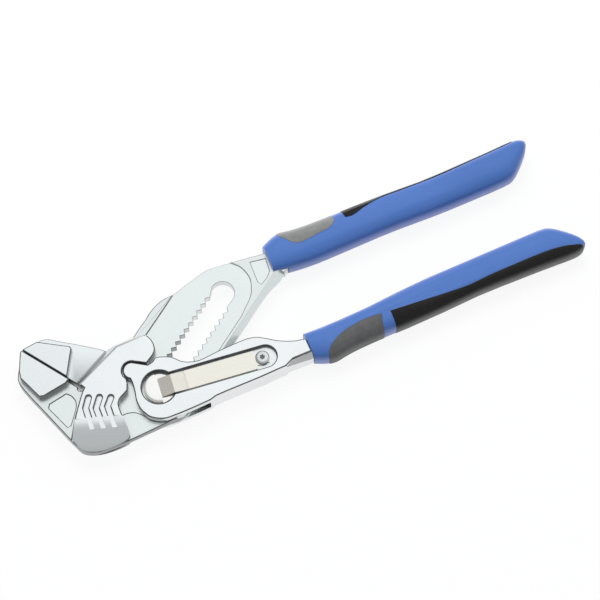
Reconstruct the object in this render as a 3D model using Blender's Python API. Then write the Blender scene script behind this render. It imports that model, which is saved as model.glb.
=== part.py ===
"""Pliers wrench with parallel jaws, an adjusting slot and two dipped-style grips.

Everything is modelled from the hinge axis, with height zero at the middle of the
tool's thickness, and is then set down on its back. The tool's length runs along X,
the jaws point to -X and the lower handle is at -Y. Lengths are in metres.

A second frame turns with the slot: s runs along the slot towards the handles, and
t across it, towards the upper jaw's tip.
"""
import math

import bmesh
import bpy
from mathutils import Vector

# Clearances
FIT = 0.00025
RUN = 0.0002
OVERRUN = 0.004

# Layers of the head, counted from the middle of its thickness
PLATE_THICKNESS = 0.0048
RAISED_STEP = 0.0006
RELIEF_DEPTH = 0.0004
HEAD_THICKNESS = 0.0136
JAW_WIDTH = 0.014
JAW_BASE_THICKNESS = 0.0088
PLATE_HALF = PLATE_THICKNESS / 2
RAISED_HALF = PLATE_HALF + RAISED_STEP
HEAD_HALF = HEAD_THICKNESS / 2
JAW_HALF = JAW_WIDTH / 2
JAW_BASE_HALF = JAW_BASE_THICKNESS / 2

# Slot and its teeth
SLIDE_ANGLE = math.radians(34.5)
TOOTH_PITCH = 0.00338
TOOTH_COUNT = 15
SLOT_HALF_WIDTH = 0.0044
TOOTH_DEPTH = 0.0014
SLOT_RUN_OUT = 0.0062
SLOT_END_RADIUS = 0.0053
SLOT_END_OFFSET = 0.0008
TOOTH_FLAT = TOOTH_PITCH / 2 - TOOTH_DEPTH

# Plate of the fixed-jaw handle
JAW_FACE = 0.01705
JAW_REACH = 0.0595
FIXED_JAW_DROP = 0.040
PLATE_OUTBOARD = 0.0227
SHOULDER_OFFSET = 0.0184
FIELD_INBOARD = 0.012
PLATE_INBOARD = 0.0155
FIELD_LENGTH = 0.066
INBOARD_BEVEL_RUN = 0.0022
INBOARD_EDGE_HALF = 0.0014
THROAT_RADIUS = 0.0013
THROAT_OFFSET = 0.0292
BADGE_DEPTH = 0.0004

# Sliding jaw
SLIDING_JAW_LENGTH = 0.040
SLIDING_JAW_REACH = 0.0595
CHEEK_BEVEL_RUN = 0.0024
CHEEK_END_BEVEL = 0.0013
TOE_FALL = 0.24
TOE_ANGLE = math.radians(18.3)
GROOVE_WIDTH = 0.0022
GROOVE_DEPTH = 0.0013

# Lever handle
NOSE_ARM = 0.0141
NOSE_RADIUS = 0.0037
NOSE_CLEARANCE = 0.0005
NOSE_START = math.radians(50)
NOSE_END = math.radians(238)
NOTCH_END = math.radians(215)
LEVER_HEAD_RADIUS = 0.0145
FORK_ROOT = 0.022
BOSS_RADIUS = 0.0115
SWING_ANGLE = math.radians(16.0)
SHANK_BEVEL_RUN = 0.0026

# Hinge sleeve, locking bolt and its cap
SLEEVE_RADIUS = 0.0064
FLANGE_RADIUS = 0.0074
FLANGE_THICKNESS = 0.0008
RECESS_RADIUS = 0.0075
RECESS_DEPTH = 0.0035
BOLT_RADIUS = 0.003
BUTTON_RADIUS = 0.0052
BUTTON_THICKNESS = 0.0009
KEY_HEIGHT = 0.0022
BOLT_TRAVEL = 0.0026
CAP_RADIUS = 0.0066
CAP_STEP_THICKNESS = 0.00065
CAP_THICKNESS = 0.00235

# Leaf spring and its screw
SPRING_ANGLE = math.radians(-6.8)
SCREW_DISTANCE = 0.0463
CHANNEL_WIDTH = 0.0098
CHANNEL_DEPTH = 0.002
CHANNEL_PAST_SCREW = 0.0014
LEAF_WIDTH = 0.0084
LEAF_THICKNESS = 0.0006
LEAF_KINK_DISTANCE = 0.012
LEAF_KINK_RISE = 0.0007
SCREW_HEAD_RADIUS = 0.003
SCREW_HEAD_HEIGHT = 0.0009
SCREW_RADIUS = 0.0015
SCREW_LENGTH = 0.0055
SCREW_RECESS_RADIUS = 0.00125
SCREW_RECESS_DEPTH = 0.00045

# Handles and grips
HANDLE_START = 0.0668
LEVER_HEAD_LENGTH = HANDLE_START - FIT
HANDLE_MIDLINE = 0.014
HANDLE_SPREAD = 0.0217
SHANK_TOP = 0.0426
UPPER_GRIP_LENGTH = 0.1274
LOWER_GRIP_LENGTH = 0.1308
GRIP_WIDTH = 0.0164
GRIP_THICKNESS = 0.014
GRIP_SKIN = 0.0013
TANG_LENGTH = 0.103
TANG_WIDTH = 0.0078
GRIP_HALF = GRIP_THICKNESS / 2
TANG_HALF = RAISED_HALF

CURVE_EDGE = 0.0022
CURVE_STEPS = 4
GENTLE_TURN = math.radians(34)
CIRCLE_STEPS = 48
RING_STEPS = 24

# Outlines as shares: pairs are along and across, and each list is scaled by the
# two sizes that it is used with
FIXED_JAW_SHARES = (
    (-0.446, 0.996), (-0.652, 0.938), (-0.732, 0.896), (-0.797, 0.775), (-0.84, 0.669),
    (-0.927, 0.454), (-0.985, 0.305), (-1.0, 0.229), (-0.98, 0.173), (-0.925, 0.12),
    (-0.83, 0.067), (-0.73, 0.017), (-0.64, -0.024), (-0.2375, -0.193),
    (-0.08, -0.26),
)
FIXED_PAD_SHARES = (
    (-0.462, 1.0), (-0.645, 0.926), (-0.705, 0.885), (-0.77, 0.692), (-0.735, 0.666),
    (-0.49, 0.586),
)
UPPER_EDGE_SHARES = (
    (0.836, 0.96), (0.664, 0.993), (0.602, 1.0), (0.554, 0.986),
    (0.433, 0.937), (0.33, 0.89), (0.278, 0.884), (0.222, 0.866), (0.149, 0.81),
    (0.098, 0.749), (0.048, 0.7),
)
FLARE_SHARES = ((0.83, 1.0), (0.97, 1.03), (1.065, 1.12), (1.16, 1.14))
FIELD_TOP_SHARES = ((0.595, 1.0), (0.66, 1.3), (0.96, 0.9), (0.98, 0.5))
FIELD_END_SHARES = (
    (0.994, 0.333), (1.0, 0.05), (0.986, -0.26), (0.958, -0.53), (0.90, -0.77),
    (0.857, -0.875), (0.77, -0.95), (0.70, -1.0), (-0.2, -1.0),
)
FIELD_FOOT_SHARES = ((-0.43, 0.462), (-0.48, 0.455), (-0.765, 0.39), (-0.99, 0.325))
RELIEF_SHARES = (
    (-0.25, -0.176), (-0.298, -0.134), (-0.332, -0.089), (-0.335, -0.02),
    (-0.345, 0.035), (-0.365, 0.07), (-0.4, 0.098), (-0.45, 0.122), (-0.85, 0.122),
)
JAW_BADGE_SHARES = (
    (-0.76, 0.612), (-0.57, 0.554), (-0.563, 0.518), (-0.588, 0.467), (-0.628, 0.445),
    (-0.758, 0.413), (-0.84, 0.397), (-0.87, 0.408), (-0.8, 0.602),
)
SHANK_BADGE_SHARES = (
    (0.884, 0.892), (0.984, 0.866), (0.974, 0.73), (0.938, 0.672), (0.89, 0.632),
    (0.877, 0.664),
)
CHEEK_SHARES = (
    (-0.412, 0.54), (0.065, 0.482), (0.178, 0.433), (0.369, 0.35), (0.407, 0.315),
    (0.42, 0.275), (0.395, 0.226), (0.355, 0.192), (0.302, 0.172), (0.183, 0.173),
    (0.0, 0.19), (-0.123, 0.192), (-0.218, 0.181), (-0.333, 0.19), (-0.38, 0.181),
    (-0.442, 0.135), (-0.574, 0.008), (-0.6, -0.01), (-0.642, -0.014),
    (-0.73, 0.016), (-0.845, 0.07), (-0.93, 0.126), (-0.985, 0.186), (-1.0, 0.23),
    (-0.995, 0.262), (-0.967, 0.321), (-0.765, 0.385), (-0.675, 0.408),
    (-0.485, 0.449), (-0.43, 0.455),
)
NOTCH_SHARES = ((-0.823, 0.504), (-0.965, 0.184), (-0.14, 0.184), (0.05, 0.794))
BASE_SHARES = (
    (-0.42, 0.972), (-0.258, 0.95), (-0.222, 0.937), (-0.168, 0.901), (-0.115, 0.81),
    (-0.035, 0.671), (0.038, 0.528), (0.06, 0.46), (-0.2, 0.40), (-0.42, 0.46),
)
PAD_SHARES = (
    (-0.426, 1.0), (-0.265, 0.943), (-0.118, 0.718), (-0.132, 0.698), (-0.426, 0.606),
)
GROOVE_SHARES = (
    ((-0.5, 0.388), (-0.612, 0.362), (-0.83, 0.186)),
    ((-0.433, 0.322), (-0.552, 0.298), (-0.732, 0.137)),
    ((-0.37, 0.252), (-0.47, 0.236), (-0.64, 0.09)),
)
LEVER_UPPER_SHARES = (
    (1.0, -0.36), (0.924, -0.28), (0.837, -0.1), (0.755, 0.16), (0.716, 0.27),
    (0.679, 0.324), (0.633, 0.352), (0.455, 0.338), (0.312, 0.297), (0.249, 0.366),
    (0.203, 0.476), (0.17, 0.641), (0.145, 0.745), (0.085, 0.869), (0.054, 0.897),
    (0.024, 0.807), (-0.01, 0.775),
)
LEVER_LOWER_SHARES = (
    (-0.148, 0.45), (-0.157, 0.152), (-0.169, -0.097), (-0.167, -0.4), (-0.15, -0.6),
    (-0.13, -0.752), (-0.076, -0.924), (-0.015, -1.0), (0.264, -0.993),
    (0.319, -0.938), (0.619, -0.938), (0.812, -0.918), (0.9, -0.935), (1.0, -0.965),
)
SHANK_SLOPE_SHARES = ((0.815, -1.3), (0.815, -0.9), (0.87, -0.79), (1.3, -0.79), (1.3, -1.3))
LEAF_NECK_SHARES = ((1.1, 1.0), (0.95, 0.62), (-0.86, 0.62))
BEVEL_FOOT_SHARE = 0.25
BEVEL_END_SHARE = 1.12
TOE_SHARES = (-0.77, 0.38)
UPPER_CORNER_SHARE = 0.7
KEY_TRIM_SHARE = 0.6
KEY_GAP_SHARE = 1.4
SCREW_HEAD_SHARES = ((0.0, 1.0), (0.5, 1.0), (0.85, 0.88), (1.0, 0.7))
LOBE_MIDDLE = 0.86
LOBE_COUNT = 6
GRIP_ROUNDING = 0.66
GRIP_STATION_SHARES = (
    0.0, 0.02, 0.045, 0.072, 0.105, 0.16, 0.24, 0.34, 0.46, 0.6, 0.75, 0.872, 0.91,
    0.94, 0.966, 0.985, 0.998,
)
OUTBOARD_SHARES = (
    0.43, 0.50, 0.575, 0.605, 0.56, 0.52, 0.505, 0.51, 0.49, 0.44, 0.455, 0.485, 0.50,
    0.505, 0.50, 0.46, 0.39,
)
LOWER_INBOARD_SHARES = (
    0.37, 0.36, 0.35, 0.345, 0.345, 0.35, 0.375, 0.435, 0.485, 0.49, 0.505, 0.515,
    0.46, 0.29, 0.10, -0.06, -0.22,
)
UPPER_INBOARD_SHARES = (
    0.375, 0.40, 0.43, 0.458, 0.485, 0.508, 0.505, 0.49, 0.49, 0.53, 0.535, 0.515, 0.46,
    0.29, 0.10, -0.06, -0.22,
)
THICKNESS_SHARES = (
    0.90, 0.95, 0.985, 1.0, 1.0, 0.99, 0.975, 0.96, 0.955, 0.96, 0.97, 0.98, 0.97,
    0.94, 0.88, 0.78, 0.60,
)
UPPER_GREY_SHARES = (
    (0.055, 0.9), (0.065, 0.47), (0.08, 0.32), (0.099, 0.14), (0.121, 0.06),
    (0.16, 0.07), (0.2, 0.105), (0.24, 0.144), (0.262, 0.26), (0.262, 0.9),
)
LOWER_GREY_SHARES = (
    (0.035, 0.9), (0.055, 0.40), (0.085, 0.21), (0.125, 0.08), (0.18, 0.01),
    (0.22, 0.0), (0.262, 0.03), (0.252, 0.30), (0.24, 0.9),
)
UPPER_BLACK_SHARES = (
    (0.296, 0.9), (0.304, 0.24), (0.33, 0.215), (0.384, 0.325), (0.446, 0.4),
    (0.52, 0.385), (0.6, 0.367), (0.673, 0.36), (0.76, 0.385), (0.83, 0.405),
    (0.9, 0.43), (0.955, 0.46), (0.99, 0.9),
)
LOWER_BLACK_SHARES = (
    (0.292, 0.9), (0.296, 0.06), (0.36, 0.10), (0.43, 0.15), (0.50, 0.20),
    (0.575, 0.23), (0.65, 0.20), (0.75, 0.19), (0.86, 0.20), (0.92, 0.25),
    (0.955, 0.32), (0.985, 0.40), (1.05, 0.9),
)
UPPER_TANG_SHARES = (
    (0.14, -0.6), (0.24, -0.5), (0.9, -0.42), (1.0, -0.30),
    (1.0, 0.30), (0.9, 0.42), (0.24, 0.5), (0.0, 0.5),
)
LOWER_TANG_SHARES = (
    (-0.06, -0.42), (0.14, -0.5), (0.9, -0.42), (1.0, -0.3),
    (1.0, 0.30), (0.9, 0.42), (0.14, 0.5), (-0.06, 0.42),
)

# Colours, roughness and metallic value of each finish
SATIN_CHROME = ("satin_chrome", (0.74, 0.77, 0.77), 0.30, 1.0)
BRIGHT_STEEL = ("bright_steel", (0.86, 0.85, 0.80), 0.18, 1.0)
SPRING_STEEL = ("spring_steel", (0.76, 0.70, 0.60), 0.28, 1.0)
BLUE_PLASTIC = ("blue_plastic", (0.10, 0.22, 0.60), 0.38, 0.0)
GREY_RUBBER = ("grey_rubber", (0.20, 0.21, 0.20), 0.62, 0.0)
BLACK_RUBBER = ("black_rubber", (0.018, 0.017, 0.016), 0.55, 0.0)


def slide_point(s, t):
    """Turn a place along and across the slot into X and Y."""
    return (
        s * math.cos(SLIDE_ANGLE) - t * math.sin(SLIDE_ANGLE),
        s * math.sin(SLIDE_ANGLE) + t * math.cos(SLIDE_ANGLE),
    )


def slide_outline(places):
    """Turn a list of places in the slot's frame into X and Y."""
    return [slide_point(s, t) for s, t in places]


def scaled(shares, length, width):
    """Scale an outline's shares by the two sizes that it follows."""
    return [(along * length, across * width) for along, across in shares]


def slide_box(s_low, s_high, t_low, t_high):
    """Give a rectangle that lies along the slot."""
    corners = ((s_low, t_low), (s_high, t_low), (s_high, t_high), (s_low, t_high))
    return slide_outline(corners)


def circle(radius, centre=(0, 0), steps=CIRCLE_STEPS):
    """Give a round outline."""
    turns = [2 * math.pi * step / steps for step in range(steps)]
    return [
        (centre[0] + radius * math.cos(turn), centre[1] + radius * math.sin(turn))
        for turn in turns
    ]


def arc(radius, first, last, centre=(0, 0), steps=10):
    """Give the points of an arc between two angles in radians."""
    turns = [first + (last - first) * step / steps for step in range(steps + 1)]
    return [
        (centre[0] + radius * math.cos(turn), centre[1] + radius * math.sin(turn))
        for turn in turns
    ]


def turned(outline, angle):
    """Turn an outline about the hinge axis."""
    cosine = math.cos(angle)
    sine = math.sin(angle)
    return [(x * cosine - y * sine, x * sine + y * cosine) for x, y in outline]


def is_gentle(before, here, after):
    """Tell whether an outline turns gently enough at a point to be a curve there."""
    first = (here - before).normalized()
    second = (after - here).normalized()
    return first.angle(second, 0) < GENTLE_TURN


def curved(outline):
    """Draw a smooth curve through an outline's gentle corners and keep its sharp ones."""
    points = [Vector(point) for point in outline]
    count = len(points)
    result = []
    for index in range(count):
        before, here = points[index - 1], points[index]
        after, beyond = points[(index + 1) % count], points[(index + 2) % count]
        result.append(tuple(here))
        step = after - here
        if step.length < CURVE_EDGE:
            continue
        leave = (after - before) if is_gentle(before, here, after) else step
        arrive = (beyond - here) if is_gentle(here, after, beyond) else step
        leave = leave.normalized() * step.length
        arrive = arrive.normalized() * step.length
        for part in range(1, CURVE_STEPS):
            result.append(hermite(here, after, leave, arrive, part / CURVE_STEPS))
    return result


def hermite(here, after, leave, arrive, share):
    """Give a point of a cubic curve between two points with their tangents."""
    square = share * share
    cube = square * share
    point = here * (2 * cube - 3 * square + 1) + leave * (cube - 2 * square + share)
    point += after * (3 * square - 2 * cube) + arrive * (cube - square)
    return tuple(point)


def refined(values):
    """Add a value between each two of a list, on a smooth curve through them."""
    result = []
    last = len(values) - 1
    for index in range(last):
        here, after = values[index], values[index + 1]
        before = values[max(index - 1, 0)]
        beyond = values[min(index + 2, last)]
        result.append(here)
        result.append((here + after) * 9 / 16 - (before + beyond) / 16)
    result.append(values[last])
    return result


def grown(outline, distance):
    """Offset a closed outline outwards, with mitred corners."""
    pairs = zip(outline, outline[1:] + outline[:1])
    area = sum(a[0] * b[1] - b[0] * a[1] for a, b in pairs)
    points = outline if area > 0 else outline[::-1]
    result = []
    for index, point in enumerate(points):
        here = Vector(point)
        before = (here - Vector(points[index - 1])).normalized()
        after = (Vector(points[(index + 1) % len(points)]) - here).normalized()
        normal_before = Vector((before.y, -before.x))
        normal_after = Vector((after.y, -after.x))
        middle = (normal_before + normal_after).normalized()
        stretch = max(middle.dot(normal_before), 0.5)
        result.append(tuple(here + middle * distance / stretch))
    return result


def finish_mesh(name, bm):
    """Close a bmesh into a new object with its faces pointing out."""
    bmesh.ops.recalc_face_normals(bm, faces=bm.faces)
    mesh = bpy.data.meshes.new(name)
    bm.to_mesh(mesh)
    bm.free()
    body = bpy.data.objects.new(name, mesh)
    bpy.context.scene.collection.objects.link(body)
    return body


def prism(outline, low, high, name="work"):
    """Raise a flat outline from one height to another."""
    bm = bmesh.new()
    corners = [bm.verts.new((x, y, low)) for x, y in outline]
    floor = bm.faces.new(corners)
    raised = bmesh.ops.extrude_face_region(bm, geom=[floor])
    top = [item for item in raised["geom"] if isinstance(item, bmesh.types.BMVert)]
    bmesh.ops.translate(bm, verts=top, vec=(0, 0, high - low))
    return finish_mesh(name, bm)


def loft(rings, name="work"):
    """Skin a row of rings and cap both ends."""
    bm = bmesh.new()
    edges = []
    for ring in rings:
        corners = [bm.verts.new(point) for point in ring]
        loop = [bm.edges.new((corners[i - 1], corners[i])) for i in range(len(corners))]
        edges.append(loop)
    for first, second in zip(edges, edges[1:]):
        bmesh.ops.bridge_loops(bm, edges=first + second)
    for loop in (edges[0], edges[-1]):
        bmesh.ops.edgeloop_fill(bm, edges=loop)
    return finish_mesh(name, bm)


def combine(body, tool, operation):
    """Join, cut or intersect a body with another one, which is used up."""
    step = body.modifiers.new("step", "BOOLEAN")
    step.operation = operation
    step.object = tool
    bpy.context.view_layer.update()
    graph = bpy.context.evaluated_depsgraph_get()
    mesh = bpy.data.meshes.new_from_object(body.evaluated_get(graph))
    body.modifiers.clear()
    body.data = mesh
    bpy.data.objects.remove(tool)
    return body


def join(body, tool):
    """Add a tool's solid to a body."""
    return combine(body, tool, "UNION")


def cut(body, tool):
    """Take a tool's solid out of a body."""
    return combine(body, tool, "DIFFERENCE")


def common(body, tool):
    """Keep what two solids share."""
    return combine(body, tool, "INTERSECT")


def cut_both_faces(body, outline, depth, reach):
    """Sink a flat pocket into the front and the back of a body."""
    cut(body, prism(outline, depth, reach))
    cut(body, prism(outline, -reach, -depth))


def slope(body, place, outward, fall):
    """Slope the front and the back of a body down from a place, in one direction."""
    for side in (1, -1):
        height = side * place[2]
        bm = bmesh.new()
        bm.from_mesh(body.data)
        flank = Vector((outward[0], outward[1])).normalized()
        normal = Vector((flank.x * fall, flank.y * fall, side)).normalized()
        geometry = bm.verts[:] + bm.edges[:] + bm.faces[:]
        done = bmesh.ops.bisect_plane(
            bm, geom=geometry, plane_co=(place[0], place[1], height),
            plane_no=normal, clear_outer=True,
        )
        rim = [item for item in done["geom_cut"] if isinstance(item, bmesh.types.BMEdge)]
        bmesh.ops.holes_fill(bm, edges=rim, sides=0)
        bmesh.ops.recalc_face_normals(bm, faces=bm.faces)
        bm.to_mesh(body.data)
        bm.free()
    return body


def tooth_profile(first_root, count, half_width, depth):
    """Give the toothed edge of the slot on its +t side, as places along s and t."""
    places = []
    for index in range(count):
        root = first_root + index * TOOTH_PITCH
        places.append((root - TOOTH_PITCH / 2 + TOOTH_FLAT / 2, half_width))
        places.append((root - TOOTH_FLAT / 2, half_width + depth))
        places.append((root + TOOTH_FLAT / 2, half_width + depth))
        places.append((root + TOOTH_PITCH / 2 - TOOTH_FLAT / 2, half_width))
    return places


def mirrored(places):
    """Close an outline with its own mirror image across the slot's middle."""
    return places + [(s, -t) for s, t in reversed(places)]


def slot_outline():
    """Give the adjusting slot: a round foot, the teeth and a smooth round end."""
    foot = SLEEVE_RADIUS + FIT
    corner = math.asin(SLOT_HALF_WIDTH / foot)
    side = arc(foot, math.pi, math.pi - corner, steps=6)[1:]
    side += tooth_profile(-TOOTH_PITCH / 2, TOOTH_COUNT, SLOT_HALF_WIDTH, TOOTH_DEPTH)
    last_root = TOOTH_COUNT * TOOTH_PITCH - TOOTH_PITCH * 3 / 2
    centre = (last_root + SLOT_RUN_OUT, SLOT_END_OFFSET)
    quarter = math.pi / 2
    end = arc(SLOT_END_RADIUS, quarter, -quarter, centre=centre, steps=16)
    return slide_outline(side + end + [(s, -t) for s, t in reversed(side)])


def nose_centre():
    """Give the middle of the lever's nose, square to the slot from the hinge."""
    return slide_point(0, NOSE_ARM)


def cheek_outline():
    """Give the outline of the sliding jaw's cheeks."""
    places = scaled(CHEEK_SHARES, SLIDING_JAW_LENGTH, SLIDING_JAW_REACH)
    return curved(slide_outline(places))


def lever_outline():
    """Give the outline of the lever's head, with its round nose."""
    upper = scaled(LEVER_UPPER_SHARES, LEVER_HEAD_LENGTH, LEVER_HEAD_RADIUS)
    lower = scaled(LEVER_LOWER_SHARES, LEVER_HEAD_LENGTH, LEVER_HEAD_RADIUS)
    nose = arc(
        NOSE_RADIUS, NOSE_START, NOSE_END, centre=nose_centre(), steps=14
    )
    return curved(upper + nose + lower)


def tang_outline(shares, side):
    """Give the outline of a tang, on the upper (1) or the lower (-1) handle."""
    middle = HANDLE_MIDLINE + side * HANDLE_SPREAD
    places = scaled(shares, TANG_LENGTH, TANG_WIDTH)
    return [(HANDLE_START + x, middle + side * y) for x, y in places]


def plate_outline():
    """Give the whole outline of the fixed-jaw handle up to its grip."""
    face = JAW_FACE + FIT * 2
    jaw = scaled(FIXED_JAW_SHARES, FIXED_JAW_DROP, JAW_REACH)
    flare = scaled(FLARE_SHARES, FIELD_LENGTH, -PLATE_INBOARD)
    places = [(-face, PLATE_OUTBOARD)]
    places += jaw
    places += flare
    outline = slide_outline(places)
    outline += tang_outline(UPPER_TANG_SHARES, 1)
    outline += scaled(UPPER_EDGE_SHARES, HANDLE_START, SHANK_TOP)
    outline += slide_outline([(PLATE_OUTBOARD * UPPER_CORNER_SHARE, PLATE_OUTBOARD)])
    return curved(outline)


def sliding_field():
    """Give the milled field on which the cheeks of jaw and lever slide."""
    drop = FIXED_JAW_DROP + OVERRUN
    foot = scaled(FIELD_FOOT_SHARES, FIXED_JAW_DROP, JAW_REACH)
    places = [(-JAW_FACE, SHOULDER_OFFSET)]
    places += scaled(FIELD_TOP_SHARES, FIELD_LENGTH, SHOULDER_OFFSET)
    places += scaled(FIELD_END_SHARES, FIELD_LENGTH, FIELD_INBOARD)
    places += [(places[-1][0], -PLATE_INBOARD - OVERRUN)]
    places += [(-drop, -PLATE_INBOARD - OVERRUN), (-drop, foot[-1][1])]
    places += foot[::-1]
    return curved(slide_outline(places))


def relief_field():
    """Give the lower, unmilled face at the foot of the plate."""
    edge = scaled(RELIEF_SHARES, FIXED_JAW_DROP, JAW_REACH)
    drop = FIXED_JAW_DROP + OVERRUN
    below = -PLATE_INBOARD - OVERRUN
    edge += [(-drop, edge[-1][1]), (-drop, below), (edge[0][0], below)]
    return curved(slide_outline(edge))


def fixed_jaw_handle():
    """Build the forging with the lower jaw, the slotted plate and the upper tang."""
    body = prism(plate_outline(), -RAISED_HALF, RAISED_HALF, "fixed_jaw_handle")
    face = -JAW_FACE - FIT
    pad = scaled(FIXED_PAD_SHARES, FIXED_JAW_DROP, JAW_REACH)
    pad += [(face, pad[-1][1]), (face, JAW_REACH)]
    join(body, prism(slide_outline(pad), -JAW_HALF, JAW_HALF))
    reach = RAISED_HALF + OVERRUN
    cut_both_faces(body, sliding_field(), PLATE_HALF, reach)
    cut_both_faces(body, relief_field(), PLATE_HALF - RELIEF_DEPTH, reach)
    cut_both_faces(body, grown(cheek_outline(), FIT), PLATE_HALF, JAW_HALF + OVERRUN)
    bevel_inboard_edge(body)
    cut(body, prism(slot_outline(), -reach, reach))
    throat = circle(THROAT_RADIUS, (face, THROAT_OFFSET), 16)
    cut(body, prism(slide_outline(throat), -reach, reach))
    badges = (
        slide_outline(scaled(JAW_BADGE_SHARES, FIXED_JAW_DROP, JAW_REACH)),
        scaled(SHANK_BADGE_SHARES, HANDLE_START, SHANK_TOP),
    )
    for badge in badges:
        cut(body, prism(curved(badge), RAISED_HALF - BADGE_DEPTH, reach))
    return body


def bevel_inboard_edge(body):
    """Slope the plate's long inboard edge down on both faces."""
    inner = -PLATE_INBOARD + INBOARD_BEVEL_RUN
    outer = -PLATE_INBOARD
    box = slide_box(
        -FIXED_JAW_DROP * BEVEL_FOOT_SHARE, FIELD_LENGTH * BEVEL_END_SHARE,
        outer - OVERRUN, inner + OVERRUN,
    )
    keep = prism(box, -RAISED_HALF - OVERRUN, RAISED_HALF + OVERRUN)
    inside = prism(box, -RAISED_HALF - OVERRUN * 2, RAISED_HALF + OVERRUN * 2)
    place = slide_point(0, outer)
    inward = slide_point(0, -1)
    fall = (RAISED_HALF - INBOARD_EDGE_HALF) / INBOARD_BEVEL_RUN
    slope(inside, (place[0], place[1], INBOARD_EDGE_HALF), inward, fall)
    cut(keep, inside)
    cut(body, keep)


def sliding_jaw():
    """Build the upper jaw, which straddles the plate with two cheeks."""
    body = prism(cheek_outline(), -HEAD_HALF, HEAD_HALF, "sliding_jaw")
    corners = CHEEK_SHARES[:4]
    cheek = slide_outline(scaled(corners, SLIDING_JAW_LENGTH, SLIDING_JAW_REACH))
    edge = Vector(cheek[1]) - Vector(cheek[0])
    bevel_fall = (HEAD_HALF - JAW_BASE_HALF) / CHEEK_BEVEL_RUN
    bevel_foot = JAW_BASE_HALF - RUN
    slope(body, (*cheek[1], bevel_foot), (-edge.y, edge.x), bevel_fall)
    slope(body, (*cheek[3], HEAD_HALF - CHEEK_END_BEVEL), (0, 1), 1)
    toe = slide_outline(scaled([TOE_SHARES], SLIDING_JAW_LENGTH, SLIDING_JAW_REACH))[0]
    toe_direction = (-math.sin(TOE_ANGLE), -math.cos(TOE_ANGLE))
    slope(body, (*toe, HEAD_HALF), toe_direction, TOE_FALL)
    base = scaled(BASE_SHARES, SLIDING_JAW_LENGTH, SLIDING_JAW_REACH)
    base = curved(slide_outline(base))
    join(body, prism(base, -JAW_BASE_HALF, JAW_BASE_HALF))
    pad = slide_outline(scaled(PAD_SHARES, SLIDING_JAW_LENGTH, SLIDING_JAW_REACH))
    join(body, prism(pad, -JAW_HALF, JAW_HALF))
    cut_plate_passage(body)
    cut_nose_notch(body)
    cut_thumb_grooves(body)
    return body


def cut_plate_passage(body):
    """Open the sliding jaw for the plate, its raised rib and the lower jaw."""
    far = FIELD_LENGTH + FIXED_JAW_DROP
    outboard = PLATE_OUTBOARD + RUN
    plate = slide_box(-far, far, -far, outboard)
    cut(body, prism(plate, -PLATE_HALF - RUN, PLATE_HALF + RUN))
    rib = slide_box(-far, far, SHOULDER_OFFSET - RUN, outboard)
    cut(body, prism(rib, -RAISED_HALF - RUN, RAISED_HALF + RUN))
    below = slide_box(-far, -JAW_FACE, outboard - OVERRUN, far)
    cut(body, prism(below, -PLATE_HALF - RUN, PLATE_HALF + RUN))


def cut_nose_notch(body):
    """Cut the notch that the lever's nose rolls in, open for the lever's whole swing."""
    radius = NOSE_RADIUS + NOSE_CLEARANCE
    outline = arc(radius, NOSE_START, NOTCH_END, centre=nose_centre(), steps=14)
    outline += scaled(NOTCH_SHARES, NOSE_ARM, NOSE_ARM)
    cut(body, prism(outline, -HEAD_HALF - OVERRUN, HEAD_HALF + OVERRUN))


def cut_thumb_grooves(body):
    """Cut the three bent grooves that fade out down the cheek, on both faces."""
    depth = HEAD_HALF - GROOVE_DEPTH
    for line in GROOVE_SHARES:
        places = slide_outline(scaled(line, SLIDING_JAW_LENGTH, SLIDING_JAW_REACH))
        top, bend, end = [Vector(place) for place in places]
        outline = groove_outline(top, bend, end, GROOVE_WIDTH / 2)
        cut_both_faces(body, outline, depth, HEAD_HALF + OVERRUN)


def groove_outline(top, bend, end, half):
    """Give a bent groove with a round upper end."""
    first = (bend - top).normalized()
    second = (end - bend).normalized()
    side_first = Vector((-first.y, first.x)) * half
    side_second = Vector((-second.y, second.x)) * half
    side_bend = (side_first + side_second).normalized() * half
    start = math.atan2(side_first.y, side_first.x)
    cap = arc(half, start + math.pi, start, centre=top, steps=8)
    left = [tuple(bend + side_bend), tuple(end + side_second)]
    right = [tuple(end - side_second), tuple(bend - side_bend)]
    return cap + left + right


def lever_handle():
    """Build the forked forging with the nose, the joint bore and the lower tang."""
    body = prism(lever_outline(), -HEAD_HALF, HEAD_HALF, "lever_handle")
    slope_shank(body)
    tang = tang_outline(LOWER_TANG_SHARES, -1)
    join(body, prism(tang, -TANG_HALF, TANG_HALF))
    far = LEVER_HEAD_LENGTH
    fork = slide_box(-far, far, -FORK_ROOT, far)
    boss = RAISED_HALF + RUN
    cut(body, prism(fork, -PLATE_HALF - RUN, PLATE_HALF + RUN))
    clearance = prism(fork, -boss, boss)
    cut(clearance, prism(circle(BOSS_RADIUS), -boss - OVERRUN, boss + OVERRUN))
    cut(body, clearance)
    reach = HEAD_HALF + OVERRUN
    recess_floor = HEAD_HALF - RECESS_DEPTH
    cut(body, prism(circle(SLEEVE_RADIUS + RUN), -reach, reach))
    cut(body, prism(circle(RECESS_RADIUS), recess_floor, reach))
    flange_floor = -HEAD_HALF + FLANGE_THICKNESS + FIT
    cut(body, prism(circle(FLANGE_RADIUS + RUN), -reach, flange_floor))
    channel = turned(channel_outline(), SPRING_ANGLE)
    cut(body, prism(channel, HEAD_HALF - CHANNEL_DEPTH, reach))
    hole = circle(SCREW_RADIUS + FIT, screw_place(), 24)
    cut(body, prism(hole, HEAD_HALF - CHANNEL_DEPTH - SCREW_LENGTH, reach))
    return body


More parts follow.
